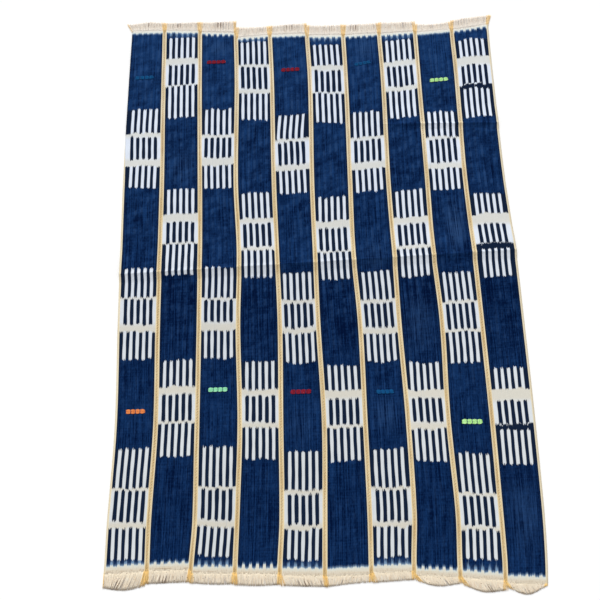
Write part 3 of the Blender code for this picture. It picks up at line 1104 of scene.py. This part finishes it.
def make_strip(strip):
    """One narrow woven strip with the numbers that its finish reads."""
    rows = [row_places(strip, column / STRIP_COLUMNS) for column in range(STRIP_COLUMNS + 1)]
    cage = flat_grid(STRIP_COLUMNS, len(rows[0]) - 1)
    layers = [cage.verts.layers.float.new(name) for name in NUMBERS]
    thickness = cage.verts.layers.float.new("thickness")
    for vert in cage.verts:
        column = round(vert.co.x)
        share = column / STRIP_COLUMNS
        y = rows[column][round(vert.co.y)]
        edge, outer = selvedge_place(strip, share, y)
        dyed = between(y, dye_end(strip, -1, share), dye_end(strip, 1, share))
        from_middle = (share - 0.5) * width_at(strip, y) - bar_shift(strip, y)
        wash = wash_at(across(strip, share, y), y)
        teeth = TEETH[strip][0 if y > 0 else 1]
        place = (from_middle, y, edge, outer, strip, dyed, teeth, column_at(DYE_AND_SHADE, y), wash)
        for layer, value in zip(layers, place + chart_at(strip, share, y)):
            vert[layer] = value
        vert[thickness] = thickness_at(strip, share, y)
        vert.co = (across(strip, share, y), y, underside(strip, share, y))
    made = bmesh.ops.extrude_face_region(cage, geom=cage.faces[:])
    for item in made["geom"]:
        if isinstance(item, bmesh.types.BMVert):
            item.co.z += item[thickness]
    name = f"cloth_strip_{strip + 1:02d}"
    return make_piece(name, cage, cloth_finish, "indigo_cotton", f"strip_{strip + 1:02d}")


strips = [make_strip(strip) for strip in range(STRIPS)]
print("each strip has", len(strips[0].data.polygons), "faces")

# %% [markdown]
# ## The fringe
# The cut warp ends lie on the floor in loose bunches, and the ochre border warps spread into tufts at
# the seams. Hair curves would be quick but can't be exported, so each thread is a short bent tube.
# Threads take painted brown shade where slits open between the bunches, most of all on the lower layer.

# %% Fringe
# Threads, their radius, how far the root sinks in and lies back, the height of the tip, how far it goes
# past the outline above and below, the painted shade, strong on the lower layer that shows through the
# slits, and how far the threads bunch
LAYERS = (
    {
        "threads": 104, "radius": 0.5, "sink": (0.3, 0.3), "depth": (0.2, 0.8), "tip": 0.5,
        "above": (-3.0, -0.6), "below": (-0.2, 1.0), "shade": (0.6, 1.0), "bunching": 0.0,
    },
    {
        "threads": 120, "radius": 0.46, "sink": (0.4, 0.8), "depth": (2.0, 6.0), "tip": 1.4,
        "above": (-2.4, 0.6), "below": (-2.0, 0.0), "shade": (0.0, 0.12), "bunching": 1.0,
    },
)
GOLD_SHADE = 0.3
TUFT_LIFT = 0.6
BUNCH = 7.6
BUNCH_LEAN = 1.6
CLOSED_PULL = 0.15
OPEN_PULL = 0.8
CLOSED_SHADE = 0.3
TUFT = 5.4
OUTER_TUFT = 1.8
CORNER_TUFT = 8.0
TUFT_SPREAD = 4.6
TUFT_MIDDLE = 0.3
TIP_SWAY = 0.9
BEND_SWAY = 1.0
BEND_RISE = 0.6
FRINGE_SEED = 100

# Where slits open between the bunches, read from the photo: x, half width, how far
UPPER_SLITS = (
    (-452, 14, 0.9), (-374, 20, 1.0), (-246, 34, 1.0), (-132, 14, 0.7), (-52, 38, 0.9), (67, 18, 0.8),
    (133, 28, 1.0), (190, 20, 0.5), (274, 16, 0.9), (353, 16, 0.7), (440, 28, 0.8),
)
LOWER_SLITS = (
    (-472, 32, 1.0), (-440, 18, 0.5), (-396, 18, 0.5), (-370, 22, 1.0), (-290, 16, 0.3), (-265, 10, 0.8),
    (-232, 10, 0.8), (-190, 20, 0.3), (-156, 10, 0.8), (-121, 14, 0.9), (-64, 40, 0.9), (-20, 12, 0.8),
    (33, 14, 0.7), (70, 16, 0.4), (152, 18, 0.4), (262, 24, 0.6), (355, 22, 0.9), (440, 32, 0.55),
)

# How far the tips lean sideways from their roots at the upper end, read from the photo: x, lean
UPPER_LEAN = ((-510, -15), (-495, -13), (-475, -7), (-440, -1), (0, 0), (200, 1), (450, 2), (515, 11))
# The same at the lower end
LOWER_LEAN = (
    (-513, 0), (-504, -2), (-490, -9), (-468, -19), (-440, -17), (-425, -10), (-415, -4), (-400, -7),
    (-340, -6), (-320, -2),
    (-220, -1), (-120, 1), (-108, 4), (-95, 8), (-50, 11), (-15, 7), (-5, 2), (10, -2), (40, -9),
    (70, -3), (98, 4), (150, 6), (180, 7), (190, 3), (196, 6), (204, 17), (214, 20), (240, 17),
    (280, 9), (294, 4), (300, 7), (308, 18), (320, 22), (345, 19), (380, 9), (396, 1), (404, 5),
    (412, 12), (420, 15), (450, 12), (480, 3), (503, -6),
)


def thread_lean(end, x):
    """How far a thread's tip stands to the side of its root."""
    return column_at(UPPER_LEAN if end > 0 else LOWER_LEAN, x)


def opening(end, x):
    """How far slits open between the bunches at a place, from 0 to 1."""
    slits = UPPER_SLITS if end > 0 else LOWER_SLITS
    return min(sum(row[2] * bump(x - row[0], row[1]) for row in slits), 1.0)


def bunch_of(x, end):
    """The middle of the bunch that a thread falls into, how hard it is drawn in, and its lean."""
    number = math.floor(x / BUNCH)
    own = random.Random(number * 2 + (end > 0))
    middle = (number + own.uniform(0.3, 0.7)) * BUNCH
    pull = CLOSED_PULL + OPEN_PULL * own.uniform(0.5, 1.0) * opening(end, middle)
    return middle, pull, own.uniform(-BUNCH_LEAN, BUNCH_LEAN)


def share_of(strip, x, y):
    """Which share of a strip's width a place lies at."""
    return min(max((x - seam_x(strip, y)) / width_at(strip, y), 0.0), 1.0)


def tuft_width(strip, end, share):
    """How wide the tuft of border yarns is at a strip's edge."""
    if strip == 0 and share < 0.5:
        return OUTER_TUFT
    if strip == STRIPS - 1 and share > 0.5 and end > 0:
        return CORNER_TUFT
    return TUFT


def thread_path(strip, end, share, layer, own):
    """A thread's way from its root to its tip, whether it is a border yarn, and how open the slits are."""
    root_y = cut_end(strip, end, share)
    root_x = across(strip, share, root_y)
    off = from_edge(strip, share, root_y)
    in_tuft = off < tuft_width(strip, end, share)
    tip_x = root_x + thread_lean(end, root_x) + own.uniform(-TIP_SWAY, TIP_SWAY)
    if in_tuft:
        inward = 1 if share < 0.5 else -1
        tip_x += TUFT_SPREAD * inward * (off / TUFT - TUFT_MIDDLE)
    else:
        middle, pull, lean = bunch_of(root_x, end)
        tip_x += layer["bunching"] * ((middle - root_x) * pull + lean)
    past = own.uniform(*layer["above" if end > 0 else "below"])
    tip_y = tip_place(strip, end, share_of(strip, tip_x, root_y)) + end * past
    start_y = root_y - end * own.uniform(*layer["depth"])
    face = underside(strip, share, start_y) + thickness_at(strip, share, start_y)
    root = Vector((root_x, start_y, face - own.uniform(*layer["sink"])))
    tip = Vector((tip_x, tip_y, layer["tip"] * own.uniform(0.8, 1.2) + (TUFT_LIFT if in_tuft else 0.0)))
    sway = Vector((own.uniform(-BEND_SWAY, BEND_SWAY), 0.0, own.uniform(0.0, BEND_RISE)))
    bend = (root + tip) / 2 + sway

    def path(at):
        rest = 1.0 - at
        return root * rest * rest + bend * 2.0 * at * rest + tip * at * at

    return path, in_tuft, opening(end, root_x)


def make_fringe(strip, end):
    """The cut warp ends of one strip in two layers, the upper one rooted on top of the weave."""
    own = random.Random(FRINGE_SEED + strip * 2 + (end > 0))
    cage = bmesh.new()
    shade, ochre, run = [cage.verts.layers.float.new(name) for name in ("shade", "ochre", "run")]
    for layer in LAYERS:
        for thread in range(layer["threads"]):
            share = (thread + own.uniform(0.2, 0.8)) / layer["threads"]
            path, in_tuft, opened = thread_path(strip, end, share, layer, own)
            # Painted shade: strongest where slits open, weaker in the tufts
            depth = own.uniform(*layer["shade"]) * (GOLD_SHADE if in_tuft else max(opened, CLOSED_SHADE))
            values = ((shade, depth), (ochre, float(in_tuft)))
            lay_thread(cage, thread_mesh, path, layer["radius"] * own.uniform(*VARIED), values, run)
    side = "top" if end > 0 else "bottom"
    name = f"threads_{side}_{strip + 1:02d}"
    return make_piece(name, cage, fringe_finish, "undyed_cotton", f"fringe_{side}_{strip + 1:02d}")


fringes = [[make_fringe(strip, end) for end in (1, -1)] for strip in range(STRIPS)]
print("the fringe has", 2 * STRIPS * sum(layer["threads"] for layer in LAYERS), "threads")

# %% [markdown]
# ## Whip stitches
# The strips are joined by hand with a thread that goes round both selvedges, which shows as a row of
# short slanted stitches along every seam. They are one mesh for each seam.

# %% Whip stitches
STITCH_PITCH = 7.0
STITCH_REACH = 2.6
STITCH_SLANT = 2.4
STITCH_RADIUS = 0.42
STITCH_RISE = 0.75
STITCH_SINK = 0.35
STITCH_LIFT = 0.3
STITCH_MARGIN = 3.0
STITCH_SEED = 500


def make_stitches(seam):
    """The stitches over one seam, from the lower to the upper woven end."""
    own = random.Random(STITCH_SEED + seam)
    top = min(cut_end(seam - 1, 1, 1.0), cut_end(seam, 1, 0.0)) - STITCH_MARGIN
    cage = bmesh.new()
    y = max(cut_end(seam - 1, -1, 1.0), cut_end(seam, -1, 0.0)) + STITCH_MARGIN
    while y < top:
        x = seam_x(seam, y)
        level = underside(seam, 0.0, y) + SELVEDGE_THICKNESS
        reach = STITCH_REACH * own.uniform(*VARIED)
        slant = STITCH_SLANT * own.uniform(0.7, 1.3)

        def path(at):
            rise = STITCH_RISE * math.sin(math.pi * at) - STITCH_SINK
            off = 2 * at - 1
            return Vector((x + off * reach, y + off * slant, level + STITCH_LIFT + rise))

        lay_thread(cage, thread_mesh, path, STITCH_RADIUS)
        y += STITCH_PITCH * own.uniform(0.9, 1.1)
    return make_piece(f"stitches_{seam:02d}", cage, stitch_finish, "ochre_cotton")


stitches = [make_stitches(seam) for seam in range(1, STRIPS)]
print("the first seam has", len(stitches[0].data.polygons) // len(thread_mesh.polygons), "stitches")

# %% [markdown]
# ## Brocade marks
# While weaving, the maker lays in short lengths of thick bright yarn that pass over the warp in four
# floats. Each mark is a few yarns side by side that rise over every float and dip between them, where two
# warps bind them down.

# %% Marks
# strip, x, y, length, depth, slant in degrees, yarn
MARKS = {
    "upper": (
        (1, -463, 578, 53, 10, 2, "blue_yarn"),
        (3, -261, 621, 54, 10, 1, "red_yarn"),
        (5, -54, 590, 52, 11, 2, "red_yarn"),
        (7, 151, 604, 47, 9, 10, "blue_yarn"),
        (9, 361, 544, 52, 11, 4, "lime_yarn"),
    ),
    "lower": (
        (1, -454, -346, 47, 11, 0, "orange_yarn"),
        (3, -253, -299, 48, 11, 0, "green_yarn"),
        (5, -51, -310, 51, 11, 0, "red_yarn"),
        (7, 156, -316, 43, 10, 0, "blue_yarn"),
        (9, 361, -394, 50, 12, -2, "lime_yarn"),
    ),
}
FLOATS = 4
YARN_PITCH = 2.0
YARN_RADIUS = 1.05
YARN_SINK = 0.4
YARN_SWAY = 1.2
MARK_MARGIN = 2
MARK_SEED = 900
FLOAT_RISE = 1.5
FLOAT_ROUND = 0.6
NECK = 0.55
BINDER_RADIUS = 0.5
BINDER_OFF = 0.5
BINDER_RISE = 0.9
BINDER_LIFT = 0.1
yarn_mesh = straight_thread(sides=6, steps=24, tip_share=1.0)


def mark_level(strip, x, y):
    """The height of the cloth's face under a mark."""
    return underside(strip - 1, share_of(strip - 1, x, y), y) + THICKNESS


def make_mark(place, row):
    """One mark: yarns laid side by side that rise over each float."""
    strip, x, y, length, depth, slant, yarn_name = row
    own = random.Random(MARK_SEED + strip)
    turn = Matrix.Rotation(math.radians(slant), 3, "Z")
    level = mark_level(strip, x, y)
    count = max(round(depth / YARN_PITCH), 2)
    cage = bmesh.new()
    for number in range(count):
        side = (number - (count - 1) / 2) * (depth - 2 * YARN_RADIUS) / (count - 1)
        start = own.uniform(-YARN_SWAY, YARN_SWAY)
        rise = FLOAT_RISE * own.uniform(*VARIED)

        def path(at):
            over = abs(math.sin(math.pi * FLOATS * at)) ** FLOAT_ROUND
            along = (at - 0.5) * (length - MARK_MARGIN) + start
            off = side * (NECK + (1 - NECK) * over)
            return turn @ Vector((along, off, 0.0)) + Vector((x, y, level + rise * over - YARN_SINK))

        lay_thread(cage, yarn_mesh, path, YARN_RADIUS)
    name = f"{place}_{strip:02d}"
    return make_piece(f"yarns_{name}", cage, YARNS[yarn_name], yarn_name, f"mark_{name}")


marks = [make_mark(place, row) for place, rows in MARKS.items() for row in rows]
print("there are", len(marks), "marks")


# %% Warps that bind the marks
def lay_binders(cage, row):
    """Two warps across each dip of a mark."""
    strip, x, y, length, depth, slant = row[:6]
    level = mark_level(strip, x, y) + BINDER_LIFT
    slope = math.tan(math.radians(slant))
    for dip in range(1, FLOATS):
        for side in (-BINDER_OFF, BINDER_OFF):
            off = (dip / FLOATS - 0.5) * (length - MARK_MARGIN) + side
            middle = y + off * slope

            def path(at):
                rise = BINDER_RISE * math.sin(math.pi * at)
                return Vector((x + off, middle + (at - 0.5) * depth, level + rise))

            lay_thread(cage, thread_mesh, path, BINDER_RADIUS)


cage = bmesh.new()
for rows in MARKS.values():
    for row in rows:
        lay_binders(cage, row)
binders = make_piece("binding_warps", cage, warp_finish, "indigo_cotton")
print("the binding warps have", len(binders.data.polygons), "faces")

# %% [markdown]
# ## The strips' sizes
# Each strip's cut size is worked out: its length between its woven ends and its width, in metres.

for strip, piece in enumerate(strips):
    length = cut_end(strip, 1, 0.5) - cut_end(strip, -1, 0.5)
    width = width_at(strip, 0)
    width * MM
    length * MM
